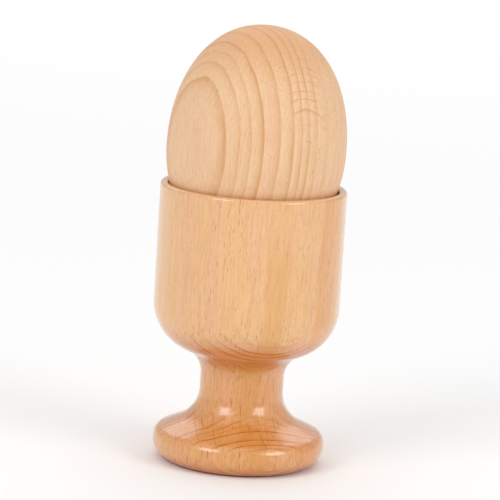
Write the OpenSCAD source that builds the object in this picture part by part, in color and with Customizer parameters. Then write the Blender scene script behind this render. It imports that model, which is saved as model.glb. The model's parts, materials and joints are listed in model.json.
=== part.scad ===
// Wooden egg shaker resting in its turned cup.
// The cup stands on z = 0 with its axis on +Z. The egg sits in the mouth of the bowl with its
// blunt end down. It is bored out from that end, holds one layer of steel pellets and is closed
// by a glued wooden plug.

/* [Cup] */
// Height of the cup, from the table to the rim
cup_h = 70.8; // [69:0.2:74]
// Outside radius of the bowl
bowl_r = 23.5; // [23:0.1:23.9]
// Wall thickness of the bowl at its mouth
bowl_wall = 2.15; // [1.9:0.05:2.4]
// Height of the corner where the side of the bowl turns under
bowl_turn_z = 32.4; // [32:0.1:33]
// Radius that rounds this corner
bowl_turn_round = 12.8; // [10:0.2:13]
// Height of the floor inside the bowl
bowl_floor_z = 34; // [33:0.5:38]
// Radius that rounds the bottom of the bowl inside
bowl_floor_round = 11.5; // [6:0.5:14]
// Height where the underside of the bowl runs into the stem
stem_top_z = 26.5; // [25.5:0.1:27]
// Radius of the stem at its waist
stem_r = 10.6; // [9.5:0.1:12]
// Height of the waist
stem_waist_z = 15.1; // [14.5:0.1:16]
// Radius of the foot
foot_r = 21.75; // [20.5:0.25:23]
// Height of the upper corner of the foot's rim
foot_rim_z = 7.5; // [7:0.1:8]

/* [Egg] */
// Largest radius of the egg
egg_r = 22.5; // [22.3:0.1:23.5]
// Height of the pointed end above the widest circle
egg_up = 31; // [29:0.5:33]
// Depth of the blunt end below the widest circle
egg_down = 28; // [27:0.25:29]
// Lean of the egg in the cup, in degrees
egg_lean = 2.4; // [0:0.1:2.5]

/* [Rattle] */
// Radius of the bore that makes the cavity
bore_r = 13; // [12.8:0.1:14]
// Height of the plug, from its domed face to its flat face
plug_h = 11; // [9:0.5:13]
// Height of the cavity above the plug
cavity_h = 31; // [24:0.5:33]
// Radius of one pellet
pellet_r = 2.25; // [1.5:0.05:2.25]
// Rings of pellets around the middle one
pellet_rings = 2; // [1:1:2]

/* [Hidden] */
arc_step = 4;                  // degrees between the points of a rounded corner
lip_round = 0.9;               // rounding of the rim, inside and outside
underside_most = 6.9;          // rounding of the hollow corner between the bowl and the stem
waist_round = 8.4;             // hollow corner at the waist
flare_r = 14.25;               // where the flare of the stem turns out into the foot
flare_z = 11;
flare_round = 8.2;
foot_top_round = 3.1;
foot_base_round = 4.9;
point_power = 2.13;            // a pointed end a little fuller than an ellipse
blunt_power = 2;               // an ellipse
egg_points = 28;               // points on each half of the egg's outline
glue_gap = 0.03;               // between the plug and its bore
pellet_gap = 0.1;              // between neighbouring pellets
pellet_lift = 0.02;            // between a pellet and the plug
charge_shift = 1.3;            // the pellets have rolled towards the lower side of the leaning egg
seat_gap = 0.14;               // between the egg and the mouth of the bowl
pellet_pitch = 2 * pellet_r + pellet_gap;
pellet_count = 1 + 3 * pellet_rings * (pellet_rings + 1);
mouth_r = bowl_r - bowl_wall;
// The rounded corners at both ends of the bowl's underside share its length.
underside_slope = atan2(bowl_turn_z - stem_top_z, bowl_r - stem_r);
underside_run = norm([bowl_r - stem_r, bowl_turn_z - stem_top_z]);
underside_round = min(underside_most, underside_run / tan(45 - underside_slope / 2) - bowl_turn_round);
// The egg sinks in until it is as wide as the mouth, less the gap.
egg_rise = egg_down * sqrt(1 - pow((mouth_r - seat_gap) / egg_r, 2));
egg_z = cup_h + egg_rise;
plug_top = plug_h - egg_down;  // heights inside the egg are measured from its widest circle
skin = [0.93, 0.76, 0.56];
satin = [0.90, 0.68, 0.45];
steel = [0.62, 0.63, 0.66];

function pellet_name(i) = str("pellet_", i < 10 ? "0" : "", i);

// Outlines are lists of corners [radius, height, rounding].
function unit(v) = v / norm(v);
function xy(p) = [p[0], p[1]];
function angle_of(v) = atan2(v[1], v[0]);
function short_turn(d) = d > 180 ? d - 360 : d < -180 ? d + 360 : d;

// The points that round corner b, which lies between a and c.
function rounded_corner(a, b, c) =
    b[2] == 0 ? [xy(b)] :
    let (
        to_a = unit(xy(a) - xy(b)),
        to_c = unit(xy(c) - xy(b)),
        half = acos(to_a * to_c) / 2,
        centre = xy(b) + unit(to_a + to_c) * b[2] / sin(half),
        reach = b[2] / tan(half),
        from = angle_of(xy(b) + to_a * reach - centre),
        turn = short_turn(angle_of(xy(b) + to_c * reach - centre) - from),
        steps = max(2, ceil(abs(turn) / arc_step))
    )
    [for (i = [0:steps]) let (t = from + turn * i / steps) centre + b[2] * [cos(t), sin(t)]];

function rounded_outline(corners) =
    let (n = len(corners))
    [for (i = [0:n - 1])
        each rounded_corner(corners[(i + n - 1) % n], corners[i], corners[(i + 1) % n])];

// The outline of one end of the egg, from its widest circle to its pole.
function egg_end(length, power) =
    [for (i = [0:egg_points])
        let (t = 90 * i / egg_points)
        [egg_r * pow(cos(t), 2 / power), length * pow(sin(t), 2 / power)]];

module egg_outline() {
    up = egg_end(egg_up, point_power);
    down = egg_end(-egg_down, blunt_power);
    polygon(concat(up, [for (i = [egg_points - 1:-1:1]) down[i]]));
}

module bore_outline(radius, from, to) {
    translate([0, from]) square([radius, to - from]);
}

// Puts what is drawn about the egg's own centre into its place in the cup.
module in_egg() {
    translate([0, 0, egg_z]) rotate([0, egg_lean, 0]) children();
}

module cup() {
    color(satin)
    rotate_extrude($fn = 180)
    polygon(rounded_outline([
        [0, 0, 0],
        [foot_r, 0, foot_base_round],
        [foot_r, foot_rim_z, foot_top_round],
        [flare_r, flare_z, flare_round],
        [stem_r, stem_waist_z, waist_round],
        [stem_r, stem_top_z, underside_round],
        [bowl_r, bowl_turn_z, bowl_turn_round],
        [bowl_r, cup_h, lip_round],
        [mouth_r, cup_h, lip_round],
        [mouth_r, bowl_floor_z, bowl_floor_round],
        [0, bowl_floor_z, 0]
    ]));
}

module egg_shell() {
    color(skin)
    in_egg()
    rotate_extrude($fn = 180)
    difference() {
        egg_outline();
        bore_outline(bore_r, -egg_down - 1, plug_top + cavity_h);
    }
}

module egg_plug() {
    color(skin)
    in_egg()
    rotate_extrude($fn = 180)
    intersection() {
        egg_outline();
        bore_outline(bore_r - glue_gap, -egg_down - 1, plug_top);
    }
}

// Pellets lie in rings of 6, 12 and so on around a middle one, as close-packed balls do.
function hexagon_corner(ring, k) = ring * pellet_pitch * [cos(60 * k), sin(60 * k)];
function pellet_places() =
    concat([[0, 0]], [
        for (ring = [1:pellet_rings])
            for (side = [0:5])
                for (step = [0:ring - 1])
                    let (a = hexagon_corner(ring, side), b = hexagon_corner(ring, side + 1))
                    a + (b - a) * step / ring
    ]);

module pellet(place) {
    color(steel)
    in_egg()
    translate([place[0] + charge_shift, place[1], plug_top + pellet_lift + pellet_r])
    sphere(r = pellet_r, $fn = 48);
}

cup();
egg_shell();
egg_plug();
for (i = [1:pellet_count])
    pellet(pellet_places()[i - 1]);
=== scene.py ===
# Looks, light and camera for a wooden egg shaker that stands in a turned egg cup.
# Outlines, grain and rays are written in millimetres, and metres() turns points into Blender's unit.
import json
import math

import bmesh
import bpy
from mathutils import Matrix, Vector


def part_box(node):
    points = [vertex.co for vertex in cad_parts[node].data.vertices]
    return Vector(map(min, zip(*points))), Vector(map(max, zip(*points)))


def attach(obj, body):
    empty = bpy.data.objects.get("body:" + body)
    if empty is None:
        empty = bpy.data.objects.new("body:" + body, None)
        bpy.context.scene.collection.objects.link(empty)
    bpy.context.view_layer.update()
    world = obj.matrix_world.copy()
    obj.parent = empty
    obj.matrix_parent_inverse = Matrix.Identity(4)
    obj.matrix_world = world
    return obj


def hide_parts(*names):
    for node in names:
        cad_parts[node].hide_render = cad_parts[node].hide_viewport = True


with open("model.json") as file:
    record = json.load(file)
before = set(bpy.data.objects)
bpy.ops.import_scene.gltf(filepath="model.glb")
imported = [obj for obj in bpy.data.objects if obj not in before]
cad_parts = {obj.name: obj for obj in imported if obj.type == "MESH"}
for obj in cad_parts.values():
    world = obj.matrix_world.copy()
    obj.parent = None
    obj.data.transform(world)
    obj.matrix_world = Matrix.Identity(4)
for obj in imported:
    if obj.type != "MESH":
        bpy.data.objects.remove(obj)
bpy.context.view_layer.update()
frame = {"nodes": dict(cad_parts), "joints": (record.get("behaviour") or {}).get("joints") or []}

MM = 0.001
joints = {joint["name"]: joint for joint in frame["joints"]}


def metres(point):
    return Vector(point) * MM


# ---------------------------------------------------------------- sizes, from the frame

_, cup_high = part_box("cup")
_, shell_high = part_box("egg_shell")
_, plug_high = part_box("egg_plug")

CUP_H = cup_high.z / MM
BOWL_R = cup_high.x / MM
EGG_R = shell_high.y / MM
PLUG_R = plug_high.y / MM
EGG_CENTRE = Vector(joints["egg_lift"]["pos_m"]) / MM
EGG_AXIS = Vector(joints["pellet_01_rattle"]["axis"]).normalized()

# The rest of the outlines: [radius, height, rounding] for each corner, as the parts are turned.
BOWL_WALL = 2.15
BOWL_FLOOR_Z = 34
FOOT_R = 21.75
STEM_R = 10.6
LIP_ROUND = 0.9
CUP_CORNERS = [
    [0, 0, 0],
    [FOOT_R, 0, 4.9],
    [FOOT_R, 7.5, 3.1],
    [14.25, 11, 8.2],
    [STEM_R, 15.1, 8.4],
    [STEM_R, 26.5, 6.9],
    [BOWL_R, 32.4, 12.8],
    [BOWL_R, CUP_H, LIP_ROUND],
    [BOWL_R - BOWL_WALL, CUP_H, LIP_ROUND],
    [BOWL_R - BOWL_WALL, BOWL_FLOOR_Z, 11.5],
    [0, BOWL_FLOOR_Z, 0],
]
EGG_UP = 31
EGG_DOWN = 28
POINT_POWER = 2.13
BLUNT_POWER = 2
BORE_R = 13
PLUG_H = 11
CAVITY_H = 31
EDGE_BREAK = 0.12  # rounding of the plug's edge and of the mouth of its bore
ON_AXIS = 1e-6  # a radius this small is a point on the axis

# ---------------------------------------------------------------- turned pieces

TURNS = 240  # flats around a turned piece
ARC_STEP = math.radians(2.5)
LONGEST_STEP = 1.5
SHARP_EDGE = math.radians(40)


def corner_arc(before, corner, after):
    """The points that round one corner of an outline."""
    here = Vector(corner[:2])
    if corner[2] == 0:
        return [here]
    back = (Vector(before[:2]) - here).normalized()
    on = (Vector(after[:2]) - here).normalized()
    half = math.acos(back.dot(on)) / 2
    centre = here + (back + on).normalized() * corner[2] / math.sin(half)
    reach = corner[2] / math.tan(half)
    first = here + back * reach - centre
    last = here + on * reach - centre
    turn = math.atan2(first.x * last.y - first.y * last.x, first.dot(last))
    steps = max(2, math.ceil(abs(turn) / ARC_STEP))
    return [centre + Matrix.Rotation(turn * i / steps, 2) @ first for i in range(steps + 1)]


def rounded(corners):
    """An outline that starts and ends on the axis, with its corners rounded."""
    points = [Vector(corners[0][:2])]
    for before, corner, after in zip(corners, corners[1:], corners[2:]):
        points += corner_arc(before, corner, after)
    return points + [Vector(corners[-1][:2])]


def evenly(points):
    """The same outline with its long straight stretches cut into short ones."""
    out = [points[0]]
    for a, b in zip(points, points[1:]):
        cuts = max(1, math.ceil((b - a).length / LONGEST_STEP))
        out += [a.lerp(b, i / cuts) for i in range(1, cuts + 1)]
    return out


def egg_end(length, power, steps=72):
    """Half of the egg's outline, from its widest circle to its pole."""
    angles = [math.pi / 2 * i / steps for i in range(steps + 1)]
    return [
        Vector((EGG_R * math.cos(t) ** (2 / power), length * math.sin(t) ** (2 / power)))
        for t in angles
    ]


def turned(name, outline, place):
    """A solid of revolution about its own +Z, put where place says."""
    mesh = bmesh.new()
    rings = []
    for point in outline:
        if point.x < ON_AXIS:
            rings.append([mesh.verts.new(metres(place @ Vector((0, 0, point.y))))])
            continue
        angles = [2 * math.pi * i / TURNS for i in range(TURNS)]
        spots = [Vector((point.x * math.cos(a), point.x * math.sin(a), point.y)) for a in angles]
        rings.append([mesh.verts.new(metres(place @ spot)) for spot in spots])
    for low, high in zip(rings, rings[1:]):
        for i in range(TURNS):
            j = (i + 1) % TURNS
            corners = [low[i % len(low)], low[j % len(low)], high[j % len(high)], high[i % len(high)]]
            mesh.faces.new(list(dict.fromkeys(corners)))
    bmesh.ops.recalc_face_normals(mesh, faces=mesh.faces)
    data = bpy.data.meshes.new(name)
    mesh.to_mesh(data)
    mesh.free()
    data.shade_smooth()
    data.set_sharp_from_angle(angle=SHARP_EDGE)
    piece = bpy.data.objects.new(name, data)
    bpy.context.scene.collection.objects.link(piece)
    return piece


UPRIGHT = Matrix.Identity(4)
EGG_LEAN = Vector((0, 0, 1)).rotation_difference(EGG_AXIS)
IN_EGG = Matrix.Translation(EGG_CENTRE) @ EGG_LEAN.to_matrix().to_4x4()


def cup_piece():
    return turned("turned_cup", evenly(rounded(CUP_CORNERS)), UPRIGHT)


def egg_pieces():
    """The shell, bored out from its blunt end, and the plug that closes it."""
    point = egg_end(EGG_UP, POINT_POWER)[::-1]
    blunt = egg_end(-EGG_DOWN, BLUNT_POWER)[1:]
    mouth_z = -EGG_DOWN * math.sqrt(1 - (BORE_R / EGG_R) ** 2)
    plug_mouth_z = -EGG_DOWN * math.sqrt(1 - (PLUG_R / EGG_R) ** 2)
    plug_top = PLUG_H - EGG_DOWN
    outside = point + [p for p in blunt if p.x > BORE_R + EDGE_BREAK * 2]
    bore = corner_arc(outside[-1], [BORE_R, mouth_z, EDGE_BREAK], [BORE_R, plug_top, 0])
    end = plug_top + CAVITY_H
    bore += [Vector((BORE_R, end)), Vector((0, end))]
    shell = turned("shell", evenly(outside + bore), IN_EGG)
    dome = [p for p in blunt if p.x < PLUG_R - EDGE_BREAK * 2][::-1]
    rim = corner_arc(dome[-1], [PLUG_R, plug_mouth_z, EDGE_BREAK], [PLUG_R, plug_top, 0])
    rim += [Vector((PLUG_R, plug_top)), Vector((0, plug_top))]
    plug = turned("plug", evenly(dome + rim), IN_EGG)
    return shell, plug


# ---------------------------------------------------------------- shader nodes


def srgb(text):
    """A colour such as "e9bb8e" as linear red, green, blue and alpha."""
    parts = [int(text[i : i + 2], 16) / 255 for i in (0, 2, 4)]
    return [p / 12.92 if p < 0.04045 else ((p + 0.055) / 1.055) ** 2.4 for p in parts] + [1]


class Nodes:
    """Short calls that add shader nodes to one material and link them."""

    def __init__(self, name):
        self.material = bpy.data.materials.new(name)
        self.material.use_nodes = True
        self.tree = self.material.node_tree
        self.shader = self.tree.nodes["Principled BSDF"]

    def add(self, kind, inputs=(), **settings):
        node = self.tree.nodes.new(kind)
        for key, value in settings.items():
            setattr(node, key, value)
        for key, value in dict(inputs).items():
            self.feed(node.inputs[key], value)
        return node

    def feed(self, socket, value):
        if isinstance(value, bpy.types.NodeSocket):
            self.tree.links.new(value, socket)
        else:
            socket.default_value = value

    def maths(self, operation, *values):
        return self.add("ShaderNodeMath", enumerate(values), operation=operation).outputs[0]

    def vector(self, operation, *values):
        node = self.add("ShaderNodeVectorMath", enumerate(values), operation=operation)
        return node.outputs["Value" if operation in ("DOT_PRODUCT", "LENGTH") else "Vector"]

    def plus(self, a, b):
        return self.maths("ADD", a, b)

    def minus(self, a, b):
        return self.maths("SUBTRACT", a, b)

    def times(self, a, b):
        return self.maths("MULTIPLY", a, b)

    def join(self, x, y, z):
        return self.add("ShaderNodeCombineXYZ", {"X": x, "Y": y, "Z": z}).outputs[0]

    def noise(self, place, detail=2.0, roughness=0.5):
        """Noise of about one unit across, from 0 to 1, at a vector or along a line."""
        inputs = {"Scale": 1.0, "Detail": detail, "Roughness": roughness}
        line = place.type == "VALUE"
        inputs["W" if line else "Vector"] = place
        node = self.add("ShaderNodeTexNoise", noise_dimensions="1D" if line else "3D")
        for key, value in inputs.items():
            self.feed(node.inputs[key], value)
        return node.outputs["Fac"]

    def fade(self, value, start, end, low=0.0, high=1.0):
        """Goes smoothly from low to high as value goes from start to end."""
        inputs = {"Value": value, "From Min": start, "From Max": end, "To Min": low, "To Max": high}
        return self.add("ShaderNodeMapRange", inputs, interpolation_type="SMOOTHSTEP").outputs[0]

    def ramp(self, value, stops):
        node = self.add("ShaderNodeValToRGB", {"Fac": value})
        while len(node.color_ramp.elements) < len(stops):
            node.color_ramp.elements.new(0.5)
        for element, (position, level) in zip(node.color_ramp.elements, stops):
            element.position = position
            element.color = [level, level, level, 1]
        return node.outputs["Color"]

    def mix(self, amount, a, b, blend="MIX"):
        node = self.add("ShaderNodeMix", data_type="RGBA", blend_type=blend)
        for socket, value in ((node.inputs[0], amount), (node.inputs[6], a), (node.inputs[7], b)):
            self.feed(socket, value)
        return node.outputs[2]

    def mix_value(self, amount, a, b):
        return self.add("ShaderNodeMix", {0: amount, 2: a, 3: b}, data_type="FLOAT").outputs[0]

    def tinted(self, amount, colour, tint):
        return self.mix(amount, colour, self.mix(1.0, colour, tint, "MULTIPLY"))

    def bump(self, height, depth):
        """Height from 0 to 1 that stands for a relief of so many millimetres."""
        inputs = {"Height": height, "Distance": depth * MM, "Strength": 1.0}
        return self.add("ShaderNodeBump", inputs).outputs[0]

    def set(self, **values):
        for key, value in values.items():
            self.feed(self.shader.inputs[key.replace("_", " ")], value)


# ---------------------------------------------------------------- beech

# Sizes in the wood are in millimetres: along the growth rings, across them, and along the grain.
FIBRE_SIZE = (0.42, 0.42, 9)
PORE_SIZE = (0.13, 0.13, 1.3)
BAND_SIZE = (5, 3, 90)
SWAY_SIZE = (16, 16, 60)
RIPPLE_SIZE = (2.2, 2.2, 14)
RING_PATCH_SIZE = (4, 3, 9)
RAY_CROWD_SIZE = (7, 9, 22)
FAN_DRIFT_SIZE = (3, 30, 4)
FAN_EDGE_SIZE = (0.8, 9, 3)
FINE_RAYS = {"spacing": (0.36, 9, 1.3), "half_size": (0.05, 3.2, 0.42), "keep": 0.8}
FINE_RAY_SHIFT = (3.7, 5.1, 1.9)
LARGE_RAY_SHIFT = (1.3, 2.2, 0.7)
# How dark the wood of one year is, from the start of the year to its end.
YEAR = ((0.0, 0.0), (0.28, 0.06), (0.68, 0.4), (0.92, 1.0), (0.98, 0.85), (1.0, 0.0))
YEAR_STEP = 7.31  # moves the noise that says how strong each year is
# Fades: from which value to which, and where given, from how much to how much.
YEAR_FADE = (0.2, 0.75, 0.35, 0.95)
BLUSH_FADE = (0.35, 0.68, 0.0, 0.75)
STREAK_FADE = (0.35, 0.72)
PORE_FADE = (0.60, 0.78, 0.0, 0.30)
UP_FADE = (0.35, 0.85)
DOWN_FADE = (-0.35, -0.85)
RAY_EDGE_FADE = (1.1, 0.35)
RAY_FACE_FADE = (0.93, 0.72, 0.1, 1.0)
FRONT_FADE = (6, 12)


def level_direction(degrees):
    """A level direction: 0 is towards the front, and 90 towards +X."""
    angle = math.radians(degrees)
    return Vector((math.sin(angle), -math.cos(angle), 0))


class Beech(Nodes):
    """Beech as a solid texture: growth rings about a pith, fibres along the grain, and rays.
    grain and outward are directions, and pith is how far the pith lies from origin."""

    def __init__(self, name, grain, outward, pith, origin, seed):
        super().__init__(name)
        self.seed = seed
        self.along = grain.normalized()
        radial = (outward - self.along * outward.dot(self.along)).normalized()
        self.across = radial.cross(self.along)
        coordinates = self.add("ShaderNodeTexCoord")
        self.normal = coordinates.outputs["Normal"]
        point = self.vector("MULTIPLY", coordinates.outputs["Object"], (1 / MM,) * 3)
        self.point = self.vector("SUBTRACT", point, tuple(origin))
        self.sideways = self.vector("DOT_PRODUCT", self.point, tuple(self.across))
        self.outwards = self.vector("DOT_PRODUCT", self.point, tuple(radial))
        self.height = self.vector("DOT_PRODUCT", self.point, tuple(self.along))
        from_pith = self.plus(self.outwards, pith)
        squares = self.plus(self.maths("POWER", self.sideways, 2.0), self.maths("POWER", from_pith, 2.0))
        self.depth = self.minus(self.maths("SQRT", squares), pith)
        around = self.times(self.maths("DIVIDE", self.sideways, from_pith), pith)
        self.straight = self.join(around, self.depth, self.height)
        self.fibres = self.noise(self.cells(FIBRE_SIZE), 3.0, 0.6)
        self.pores = self.noise(self.cells(PORE_SIZE), 2.0, 0.55)
        self.ripple = self.noise(self.cells(RIPPLE_SIZE), 2.0)

    def cells(self, size, shift=(0, 0, 0)):
        """The place in the wood, with the rings laid flat and one unit for each size."""
        place = self.vector("ADD", self.straight, shift)
        return self.vector("MULTIPLY", place, [1 / length for length in size])

    def growth_rings(self, rings):
        """How late in its year each point grew, and how strong that year's ring is."""
        sway = self.noise(self.cells(SWAY_SIZE, (self.seed, 0, 0)), 1.0)
        wavy = self.plus(self.depth, self.times(self.minus(sway, 0.5), rings["sway"]))
        wavy = self.plus(wavy, self.times(self.minus(self.ripple, 0.5), rings["ripple"]))
        cycle = self.plus(self.times(wavy, 2 * math.pi / rings["cycle"]), rings["start"])
        uneven = self.times(self.maths("SINE", cycle), rings["uneven"])
        years = self.maths("DIVIDE", wavy, rings["width"])
        years = self.plus(years, self.plus(uneven, rings["offset"]))
        lateness = self.ramp(self.maths("FRACT", years), YEAR)
        which = self.times(self.maths("FLOOR", years), YEAR_STEP)
        year = self.noise(self.plus(which, self.seed), 0.0)
        patches = self.noise(self.cells(RING_PATCH_SIZE), 1.0)
        strength = self.times(
            self.fade(year, *YEAR_FADE),
            self.fade(patches, 0.35, 0.6, rings["faintest"], 1.0),
        )
        for start, end, low, high in rings["depth_fades"]:
            strength = self.times(strength, self.fade(self.depth, start, end, low, high))
        return lateness, strength

    def end_grain(self, amount, pale_above):
        """How much of the grain's end shows, on upward and on downward faces."""
        facing = self.vector("DOT_PRODUCT", self.normal, tuple(self.along))
        up = self.times(self.fade(facing, *UP_FADE), amount)
        down = self.times(self.fade(facing, *DOWN_FADE), amount)
        # Above that height upward end grain is left out, so the lip's top stays pale: painted
        # reflection.
        return self.times(up, self.fade(self.height, pale_above, pale_above - 1.5)), down

    def ray_sheets(self, spacing, half_size, keep, shift=(0, 0, 0)):
        """Medullary rays: thin upright sheets that run outwards from the pith.
        Returns how far inside a sheet each point is, from 0 to 1."""
        cells = self.cells(spacing, shift)
        found = self.add("ShaderNodeTexVoronoi", {"Vector": cells, "Scale": 1.0, "Randomness": 1.0})
        offset = self.vector("SUBTRACT", cells, found.outputs["Position"])
        stretch = [gap / size for gap, size in zip(spacing, half_size)]
        distance = self.vector("LENGTH", self.vector("MULTIPLY", offset, stretch))
        chance = self.add("ShaderNodeSeparateColor", {"Color": found.outputs["Color"]})
        present = self.fade(chance.outputs["Red"], 1 - keep, 1.5 - keep)
        return self.times(self.fade(distance, *RAY_EDGE_FADE), present)

    def broad_rays(self, rays):
        """The rays that can be told apart, hidden where the surface lies along them."""
        crowd = self.noise(self.cells(RAY_CROWD_SIZE), 1.0)
        crowd = self.fade(crowd, 0.35, 0.65, rays["thinnest"], 1.0)
        crowded_below = rays["crowded_below"]
        crowd = self.maths("MAXIMUM", crowd, self.fade(self.height, crowded_below + 8, crowded_below))
        broad = self.times(self.ray_sheets(**rays["sheets"]), crowd)
        if "large" in rays:
            large = self.ray_sheets(**rays["large"], shift=LARGE_RAY_SHIFT)
            below = rays["large_below"]
            large = self.times(large, self.fade(self.height, below + 3, below, 0.25, 1.0))
            broad = self.maths("MAXIMUM", broad, large)
        edge_on = self.vector("DOT_PRODUCT", self.normal, tuple(self.across))
        return self.times(broad, self.fade(self.maths("ABSOLUTE", edge_on), *RAY_FACE_FADE))

    def ray_fan(self, fan):
        """A patch where wide rays lie one behind another, which a turned surface cuts into arcs."""
        parts = self.add("ShaderNodeSeparateXYZ", {"Vector": self.straight}).outputs
        drift = self.noise(self.cells(FAN_DRIFT_SIZE), 1.0)
        sheet = self.maths("DIVIDE", parts["X"], fan["spacing"])
        sheet = self.plus(sheet, self.times(drift, fan["drift"]))
        off = self.maths("ABSOLUTE", self.minus(self.maths("FRACT", sheet), 0.5))
        line = self.fade(off, fan["thickness"], fan["thickness"] * 0.3)
        line = self.times(line, self.fade(self.height, fan["lowest"], fan["lowest"] + 3))
        high = fan["faint_above"]
        line = self.times(line, self.fade(self.height, high - 3, high + 5, 1.0, 0.45))
        ragged = self.noise(self.cells(FAN_EDGE_SIZE), 1.0)
        away = self.maths("ABSOLUTE", self.minus(self.depth, fan["centre"]))
        away = self.plus(away, self.times(ragged, fan["ragged"]))
        return self.times(line, self.fade(away, fan["reach"], fan["reach"] * 0.75))

    def stain(self, centre, reach, top):
        """An upright band of darker wood on the front, faint above its top."""
        aside = self.maths("ABSOLUTE", self.minus(self.sideways, centre))
        aside = self.plus(aside, self.times(self.ripple, 1.4))
        inside = self.times(
            self.fade(aside, reach, reach * 0.6), self.fade(self.height, top + 8, top, 0.35, 1.0)
        )
        return self.times(inside, self.fade(self.outwards, *FRONT_FADE))

    def surface(self, wood, end_amount=1.0):
        """The colour of a cut through this wood, and its relief."""
        colours = {name: srgb(text) for name, text in wood["colours"].items()}
        bands = self.noise(self.cells(BAND_SIZE), 2.0)
        broad = self.broad_rays(wood["rays"])
        fine = self.ray_sheets(**FINE_RAYS, shift=FINE_RAY_SHIFT)
        up, down = self.end_grain(end_amount, wood["painted_reflection_above"])
        end = self.plus(up, down)

        colour = self.mix(self.fade(bands, *BLUSH_FADE), colours["early"], colours["blush"])
        for tint, *place in wood["stains"]:
            colour = self.tinted(self.stain(*place), colour, srgb(tint))
        streaks = wood["streaks"]
        # Low on the cup the wood is tinted darker and more orange, with more streaks: painted shade
        # under the bowl, on its underside, the stem and the foot.
        if "shade_below" in wood:
            low = self.fade(self.height, wood["shade_below"] + 6, wood["shade_below"] - 6)
            colour = self.tinted(low, colour, colours["under_bowl_shade"])
            streaks = self.plus(self.times(low, 0.3), streaks)

        rings = wood["rings"]
        lateness, strength = self.growth_rings(rings)
        strength = self.times(strength, self.mix_value(end, rings["side"], rings["end"]))
        lateness = self.mix_value(end, lateness, self.maths("POWER", lateness, 3.0))
        ring_colour = self.mix(end, colours["late"], colours["end_ring"])
        colour = self.mix(self.times(lateness, strength), colour, ring_colour)
        streaks = self.times(self.fade(self.fibres, *STREAK_FADE), streaks)
        colour = self.mix(streaks, colour, colours["late"])
        colour = self.mix(self.fade(self.pores, *PORE_FADE), colour, colours["ray"])
        colour = self.tinted(up, colour, colours["end_up"])
        # End grain that faces down, as under the bowl, is tinted darker than end grain that faces up:
        # painted shade.
        colour = self.tinted(down, colour, colours["end_down_and_shade"])
        for rays, amount in ((fine, wood["rays"]["fine"]), (broad, wood["rays"]["strength"])):
            colour = self.mix(self.times(rays, amount), colour, colours["ray"])
        if "fan" in wood:
            fan = self.times(self.ray_fan(wood["fan"]), wood["fan"]["strength"])
            colour = self.mix(fan, colour, colours["fan"])
        relief = self.plus(self.times(self.pores, -0.5), self.times(self.fibres, 0.35))
        return colour, self.minus(relief, self.times(broad, 0.15))

    def lacquered(self, colour, relief):
        """A clear glossy coat: the pores dimple it a little."""
        roughness = self.fade(self.fibres, 0.2, 0.8, 0.30, 0.46)
        self.set(Base_Color=colour, Roughness=roughness, Normal=self.bump(relief, 0.05))
        self.set(Specular_IOR_Level=0.25, Coat_Weight=1.0, Coat_Roughness=0.12, Coat_IOR=1.62)
        self.set(Coat_Normal=self.bump(relief, 0.028))
        return self.material

    def sanded(self, colour, relief):
        """Fine-sanded and waxed, with a dull sheen."""
        roughness = self.fade(self.fibres, 0.2, 0.8, 0.50, 0.66)
        self.set(Base_Color=colour, Roughness=roughness, Normal=self.bump(relief, 0.05))
        self.set(Coat_Weight=0.12, Coat_Roughness=0.45)
        return self.material


# In rings, width is in millimetres and uneven is how much it varies over a cycle of years, from
# start. offset moves the rings, sway and ripple bend them, side and end say how strongly they show
# on the side and the end of the grain, and depth_fades weaken them at some depths.
CUP_WOOD = {
    "colours": {
        "early": "e7b77d",
        "late": "cd8340",
        "blush": "e9b48c",
        "ray": "ac6428",
        # tint of the painted shade under the bowl
        "under_bowl_shade": "f9e8cf",
        "end_ring": "b06026",
        "end_up": "fff5e0",
        # darker than end_up: painted shade on downward end grain under the bowl
        "end_down_and_shade": "efd2b6",
    },
    "rings": {
        "width": 1.85,
        "uneven": 0.3,
        "cycle": 7,
        "start": 0.4,
        "offset": 0.35,
        "sway": 2.4,
        "ripple": 0.5,
        "side": 0.16,
        "end": 2.0,
        "faintest": 0.6,
        "depth_fades": (),
    },
    "rays": {
        "sheets": {"spacing": (0.66, 18, 3), "half_size": (0.08, 8, 1.1), "keep": 0.9},
        "large": {"spacing": (1.9, 16, 4.4), "half_size": (0.15, 7.5, 1.7), "keep": 0.9},
        "large_below": 26,
        "crowded_below": 38,
        "thinnest": 0.3,
        "strength": 0.8,
        "fine": 0.6,
    },
    "stains": (("f7f0cc", 2.4, 4.4, 52), ("f8ead0", -13, 5.5, 70)),  # tint, centre, reach, top
    "streaks": 0.34,
    # height below which the painted shade under the bowl is tinted in
    "shade_below": 29,
    # the lip's top is kept pale above this height: painted reflection
    "painted_reflection_above": 68.5,
}
EGG_WOOD = {
    "colours": {
        "early": "e9c399",
        "late": "cf955c",
        "blush": "e9be9b",
        "ray": "b27a4e",
        "fan": "c98552",
        "end_ring": "d1965c",
        "end_up": "f6e6d6",
        "end_down_and_shade": "f6e6d6",
    },
    "rings": {
        "width": 2.8,
        "uneven": 0.3,
        "cycle": 14,
        "start": 0.673,
        "offset": -0.06,
        "sway": 1.6,
        "ripple": 0.5,
        "side": 1.2,
        "end": 1.2,
        "faintest": 0.7,
        "depth_fades": ((-20.5, -19.8, 0, 1), (-4, 5, 1, 0.28)),
    },
    "rays": {
        "sheets": {"spacing": (0.8, 22, 2.6), "half_size": (0.07, 9, 0.7), "keep": 0.8},
        "crowded_below": -30,
        "thinnest": 0.35,
        "strength": 0.45,
        "fine": 0.45,
    },
    "fan": {
        "spacing": 0.95,
        "drift": 1.0,
        "thickness": 0.09,
        "centre": -1.0,
        "ragged": 6.0,
        "reach": 8.5,
        "lowest": 9,
        "faint_above": 18,
        "strength": 0.5,
    },
    "stains": (),
    "streaks": 0.34,
    "painted_reflection_above": EGG_UP + 10,
}
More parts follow.
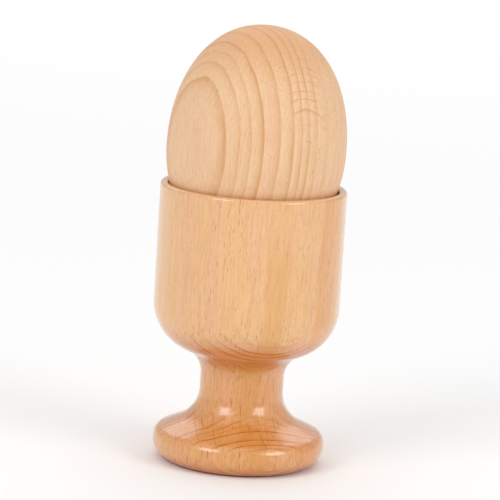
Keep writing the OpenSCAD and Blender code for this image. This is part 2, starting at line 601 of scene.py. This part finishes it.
PLUG_WOOD = dict(EGG_WOOD, rings=dict(EGG_WOOD["rings"], width=2.1, offset=0.6))
GLUE_LINE = 0.28


def cup_wood():
    wood = Beech("cup_beech", Vector((0.02, 0.03, 1)), level_direction(20), 70, Vector(), 4.2)
    return wood.lacquered(*wood.surface(CUP_WOOD))


def egg_wood():
    wood = Beech("egg_beech", EGG_AXIS, level_direction(130), 140, EGG_CENTRE, 11.6)
    return wood.sanded(*wood.surface(EGG_WOOD))


def plug_wood():
    """The plug is cut from another stick, and a thin dark line of glue shows around it."""
    wood = Beech("plug_beech", EGG_AXIS, level_direction(35), 60, EGG_CENTRE, 23.0)
    colour, relief = wood.surface(PLUG_WOOD, 0.8)
    off_axis = wood.vector("LENGTH", wood.vector("CROSS_PRODUCT", wood.point, tuple(EGG_AXIS)))
    glue = wood.fade(off_axis, PLUG_R - GLUE_LINE, PLUG_R - 0.05, 0.0, 0.75)
    return wood.sanded(wood.mix(glue, colour, srgb("8a5a34")), relief)


def pellet_steel():
    """Tumbled steel shot: bright, with fine scuffs and darker spots of oil."""
    steel = Nodes("tumbled_steel")
    point = steel.vector("MULTIPLY", steel.add("ShaderNodeTexCoord").outputs["Object"], (1 / MM,) * 3)
    spots = steel.noise(steel.vector("MULTIPLY", point, (0.9,) * 3), 3.0)
    scuffs = steel.noise(steel.vector("MULTIPLY", point, (9.0, 9.0, 2.5)), 3.0, 0.7)
    colour = steel.mix(steel.fade(spots, 0.45, 0.7, 0.0, 0.8), srgb("c9cacd"), srgb("96938f"))
    steel.set(Base_Color=colour, Metallic=1.0, Roughness=steel.fade(scuffs, 0.3, 0.7, 0.16, 0.36))
    steel.set(Normal=steel.bump(scuffs, 0.01))
    return steel.material


def paint(piece, material):
    piece.data.materials.clear()
    piece.data.materials.append(material)


# ---------------------------------------------------------------- stage, light and camera

LOOK_AT = Vector((0, 0, 54.2))
CAMERA_DISTANCE = 799
CAMERA_ELEVATION = 10.45
CAMERA_ROLL = 3.6
CAMERA_LENS = 228.5
SOFTBOX_DISTANCE = 1300
SOFTBOXES = (  # name, azimuth, elevation, width, height and watts
    ("softbox_left", -42, 33, 580, 580, 4.4),
    ("softbox_right", 54, 26, 580, 580, 4.4),
    ("softbox_top", 0, 80, 1200, 1200, 2),
)
BACKDROP_LAMP = (2400, 1800, 13)  # width, height and watts
BACKDROP_LAMP_AT = (0, 1700, 1200)
ROOM_LIGHT = 0.62
FLOOR_WHITE = 0.95
FLOOR_SIZE = 6  # metres


def towards(azimuth, elevation):
    """A direction: azimuth 0 is the front, 90 is +X, and elevation is above the floor."""
    level = level_direction(azimuth) * math.cos(math.radians(elevation))
    return level + Vector((0, 0, math.sin(math.radians(elevation))))


def aimed(thing, azimuth, elevation, distance, roll=0):
    """Puts a camera or lamp at that distance from LOOK_AT, looking at it."""
    direction = towards(azimuth, elevation)
    turn = direction.to_track_quat("Z", "Y").to_matrix().to_4x4()
    turn = turn @ Matrix.Rotation(math.radians(roll), 4, "Z")
    thing.matrix_world = Matrix.Translation(metres(LOOK_AT + direction * distance)) @ turn
    bpy.context.scene.collection.objects.link(thing)


def camera():
    data = bpy.data.cameras.new("camera")
    data.lens = CAMERA_LENS
    data.clip_start = 0.05
    seen = bpy.data.objects.new("camera", data)
    aimed(seen, 0, CAMERA_ELEVATION, CAMERA_DISTANCE, CAMERA_ROLL)
    bpy.context.scene.camera = seen


def area_lamp(name, width, height, watts):
    data = bpy.data.lights.new(name, "AREA")
    data.shape = "RECTANGLE"
    data.size = width * MM
    data.size_y = height * MM
    data.energy = watts
    return bpy.data.objects.new(name, data)


def backdrop_light():
    """Shines straight down on the floor behind the object."""
    lamp = area_lamp("backdrop_light", *BACKDROP_LAMP)
    lamp.location = metres(BACKDROP_LAMP_AT)
    bpy.context.scene.collection.objects.link(lamp)


def studio():
    world = bpy.data.worlds.new("studio")
    world.use_nodes = True
    world.node_tree.nodes["Background"].inputs["Color"].default_value = [1, 1, 1, 1]
    world.node_tree.nodes["Background"].inputs["Strength"].default_value = ROOM_LIGHT
    bpy.context.scene.world = world
    bpy.context.scene.view_settings.view_transform = "Standard"
    for name, azimuth, elevation, width, height, watts in SOFTBOXES:
        lamp = area_lamp(name, width, height, watts)
        aimed(lamp, azimuth, elevation, SOFTBOX_DISTANCE)
    backdrop_light()


def floor():
    mesh = bmesh.new()
    bmesh.ops.create_grid(mesh, x_segments=1, y_segments=1, size=FLOOR_SIZE)
    data = bpy.data.meshes.new("floor")
    mesh.to_mesh(data)
    mesh.free()
    ground = bpy.data.objects.new("floor", data)
    bpy.context.scene.collection.objects.link(ground)
    nodes = Nodes("floor")
    nodes.set(Base_Color=[FLOOR_WHITE] * 3 + [1], Roughness=0.9, Specular_IOR_Level=0.1)
    paint(ground, nodes.material)


# ---------------------------------------------------------------- the object

camera()
studio()
floor()

cup = cup_piece()
paint(cup, cup_wood())
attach(cup, "cup")
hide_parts("cup")

shell, plug = egg_pieces()
for piece, node, material, slot in (
    (shell, "egg_shell", egg_wood(), "egg_wood"),
    (plug, "egg_plug", plug_wood(), "plug_wood"),
):
    paint(piece, material)
    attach(piece, "egg")
    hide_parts(node)

steel = pellet_steel()
for name, node in frame["nodes"].items():
    if name.startswith("pellet_"):
        paint(node, steel)
